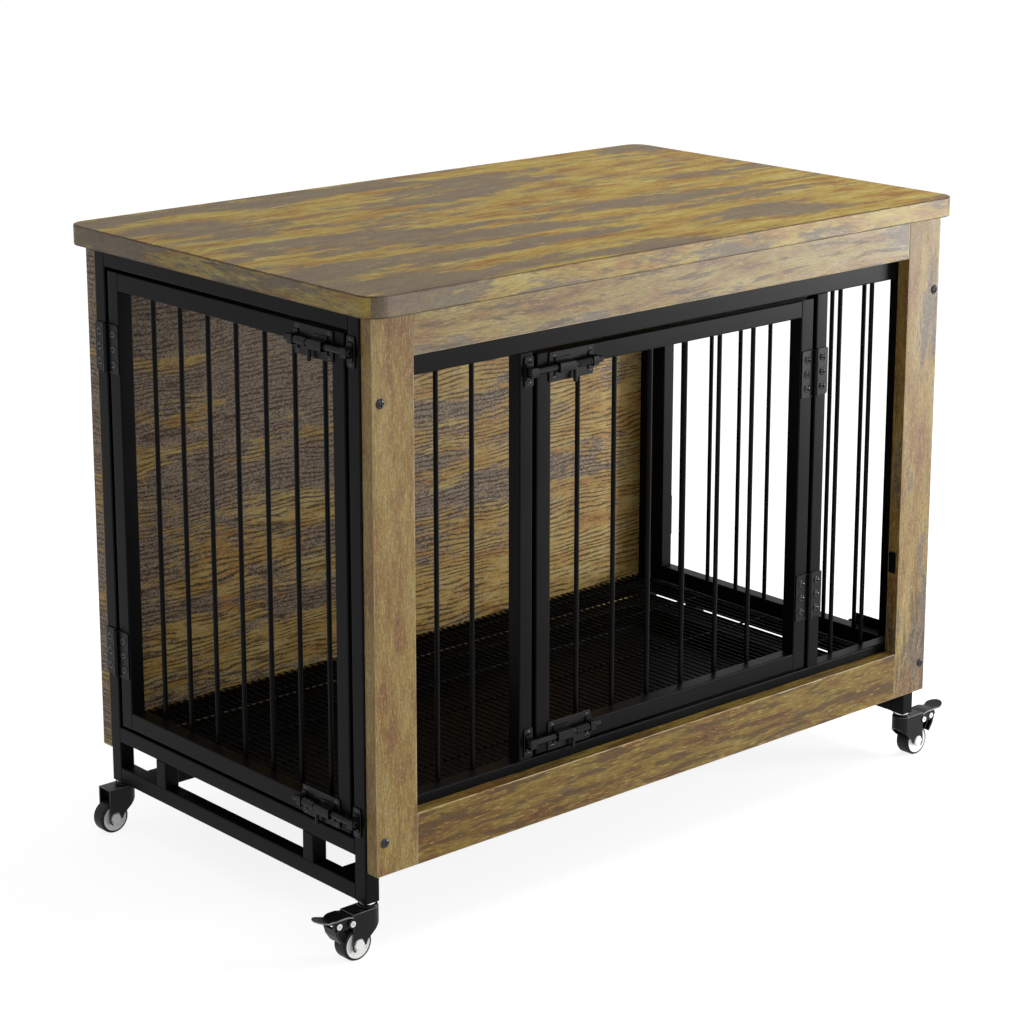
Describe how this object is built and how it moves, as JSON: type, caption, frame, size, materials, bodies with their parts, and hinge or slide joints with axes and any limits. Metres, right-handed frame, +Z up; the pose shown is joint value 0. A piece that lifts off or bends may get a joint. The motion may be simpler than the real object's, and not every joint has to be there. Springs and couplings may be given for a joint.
{
  "type": "dog crate end table",
  "caption": "Barred steel dog crate on locking casters, dressed with rustic boards as an end table, with hinged doors and barrel latches.",
  "frame": {"origin": "on the floor under the middle of the whole part", "axes": "+X along the length to the right seen from the front, +Y to the back, +Z up"},
  "size_m": [1.073, 0.59, 0.7693],
  "materials": {
    "rustic_board": "matt foil of weathered golden planks",
    "frame_steel": "satin black powder coat",
    "wire_steel": "satin black coated wire",
    "hardware_steel": "black pressed steel",
    "bolt_steel": "black drawn steel rod",
    "tray_plastic": "moulded black plastic",
    "caster_tyre": "black moulded tyre"
  },
  "bodies": {
    "root": {"table_top": "rustic_board", "front_left_upright": "rustic_board", "front_right_upright": "rustic_board", "front_apron": "rustic_board", "front_skirt": "rustic_board", "rear_panel": "rustic_board", "left_side_frame": "frame_steel", "right_side_frame": "frame_steel", "front_panel_frame": "frame_steel", "front_top_rail": "frame_steel", "rear_top_rail": "frame_steel", "front_floor_rail": "frame_steel", "rear_floor_rail": "frame_steel", "front_cross_bar": "frame_steel", "rear_cross_bar": "frame_steel", "wire_floor": "wire_steel", "drop_in_tray": "tray_plastic", "front_hinge_upper_frame_leaf": "hardware_steel", "front_hinge_lower_frame_leaf": "hardware_steel", "left_hinge_upper_frame_leaf": "hardware_steel", "left_hinge_lower_frame_leaf": "hardware_steel", "right_hinge_upper_frame_leaf": "hardware_steel", "right_hinge_lower_frame_leaf": "hardware_steel", "front_latch_upper_keeper": "hardware_steel", "front_latch_lower_keeper": "hardware_steel", "left_latch_upper_keeper": "hardware_steel", "left_latch_lower_keeper": "hardware_steel", "right_latch_upper_keeper": "hardware_steel", "right_latch_lower_keeper": "hardware_steel"},
    "front_door": {"front_door": "frame_steel", "front_hinge_upper_door_leaf": "hardware_steel", "front_hinge_lower_door_leaf": "hardware_steel", "front_latch_upper_plate": "hardware_steel", "front_latch_lower_plate": "hardware_steel"},
    "front_upper_bolt": {"front_latch_upper_bolt": "bolt_steel"},
    "front_lower_bolt": {"front_latch_lower_bolt": "bolt_steel"},
    "left_door": {"left_door": "frame_steel", "left_hinge_upper_door_leaf": "hardware_steel", "left_hinge_lower_door_leaf": "hardware_steel", "left_latch_upper_plate": "hardware_steel", "left_latch_lower_plate": "hardware_steel"},
    "left_upper_bolt": {"left_latch_upper_bolt": "bolt_steel"},
    "left_lower_bolt": {"left_latch_lower_bolt": "bolt_steel"},
    "right_door": {"right_door": "frame_steel", "right_hinge_upper_door_leaf": "hardware_steel", "right_hinge_lower_door_leaf": "hardware_steel", "right_latch_upper_plate": "hardware_steel", "right_latch_lower_plate": "hardware_steel"},
    "right_upper_bolt": {"right_latch_upper_bolt": "bolt_steel"},
    "right_lower_bolt": {"right_latch_lower_bolt": "bolt_steel"},
    "front_left_caster_fork": {"caster_front_left_fork": "hardware_steel"},
    "front_left_caster_wheel": {"caster_front_left_wheel": "caster_tyre"},
    "front_left_brake_pedal": {"caster_front_left_brake_pedal": "hardware_steel"},
    "front_right_caster_fork": {"caster_front_right_fork": "hardware_steel"},
    "front_right_caster_wheel": {"caster_front_right_wheel": "caster_tyre"},
    "front_right_brake_pedal": {"caster_front_right_brake_pedal": "hardware_steel"},
    "rear_left_caster_fork": {"caster_rear_left_fork": "hardware_steel"},
    "rear_left_caster_wheel": {"caster_rear_left_wheel": "caster_tyre"},
    "rear_right_caster_fork": {"caster_rear_right_fork": "hardware_steel"},
    "rear_right_caster_wheel": {"caster_rear_right_wheel": "caster_tyre"}
  },
  "joints": [
    {"name": "front_door_hinge", "type": "hinge", "parent": "root", "child": "front_door", "pos_m": [0.2545, -0.26395, 0.419], "axis": [0, 0, 1], "range_deg": [0, 170]},
    {"name": "front_upper_bolt_slide", "type": "slide", "parent": "front_door", "child": "front_upper_bolt", "axis": [1, 0, 0], "range_m": [0, 0.018]},
    {"name": "front_lower_bolt_slide", "type": "slide", "parent": "front_door", "child": "front_lower_bolt", "axis": [1, 0, 0], "range_m": [0, 0.018]},
    {"name": "left_door_hinge", "type": "hinge", "parent": "root", "child": "left_door", "pos_m": [-0.4732, 0.22675, 0.431], "axis": [0, 0, -1], "range_deg": [0, 170]},
    {"name": "left_upper_bolt_slide", "type": "slide", "parent": "left_door", "child": "left_upper_bolt", "axis": [0, 1, 0], "range_m": [0, 0.018]},
    {"name": "left_lower_bolt_slide", "type": "slide", "parent": "left_door", "child": "left_lower_bolt", "axis": [0, 1, 0], "range_m": [0, 0.018]},
    {"name": "right_door_hinge", "type": "hinge", "parent": "root", "child": "right_door", "pos_m": [0.4732, 0.22675, 0.431], "axis": [0, 0, 1], "range_deg": [0, 170]},
    {"name": "right_upper_bolt_slide", "type": "slide", "parent": "right_door", "child": "right_upper_bolt", "axis": [0, 1, 0], "range_m": [0, 0.018]},
    {"name": "right_lower_bolt_slide", "type": "slide", "parent": "right_door", "child": "right_lower_bolt", "axis": [0, 1, 0], "range_m": [0, 0.018]},
    {"name": "front_left_caster_swivel", "type": "hinge", "parent": "root", "child": "front_left_caster_fork", "pos_m": [-0.4595, -0.25025, 0.059], "axis": [0, 0, 1], "continuous": true},
    {"name": "front_left_wheel_spin", "type": "hinge", "parent": "front_left_caster_fork", "child": "front_left_caster_wheel", "pos_m": [-0.4815, -0.25025, 0.02], "axis": [0, 1, 0], "continuous": true},
    {"name": "front_left_brake_press", "type": "hinge", "parent": "front_left_caster_fork", "child": "front_left_brake_pedal", "pos_m": [-0.491, -0.25025, 0.0486], "axis": [0, -1, 0], "range_deg": [0, 10]},
    {"name": "front_right_caster_swivel", "type": "hinge", "parent": "root", "child": "front_right_caster_fork", "pos_m": [0.4595, -0.25025, 0.059], "axis": [0, 0, 1], "continuous": true},
    {"name": "front_right_wheel_spin", "type": "hinge", "parent": "front_right_caster_fork", "child": "front_right_caster_wheel", "pos_m": [0.4815, -0.25025, 0.02], "axis": [0, 1, 0], "continuous": true},
    {"name": "front_right_brake_press", "type": "hinge", "parent": "front_right_caster_fork", "child": "front_right_brake_pedal", "pos_m": [0.491, -0.25025, 0.0486], "axis": [0, 1, 0], "range_deg": [0, 10]},
    {"name": "rear_left_caster_swivel", "type": "hinge", "parent": "root", "child": "rear_left_caster_fork", "pos_m": [-0.4595, 0.23975, 0.059], "axis": [0, 0, 1], "continuous": true},
    {"name": "rear_left_wheel_spin", "type": "hinge", "parent": "rear_left_caster_fork", "child": "rear_left_caster_wheel", "pos_m": [-0.4815, 0.23975, 0.02], "axis": [0, 1, 0], "continuous": true},
    {"name": "rear_right_caster_swivel", "type": "hinge", "parent": "root", "child": "rear_right_caster_fork", "pos_m": [0.4595, 0.23975, 0.059], "axis": [0, 0, 1], "continuous": true},
    {"name": "rear_right_wheel_spin", "type": "hinge", "parent": "rear_right_caster_fork", "child": "rear_right_caster_wheel", "pos_m": [0.4815, 0.23975, 0.02], "axis": [0, 1, 0], "continuous": true}
  ]
}
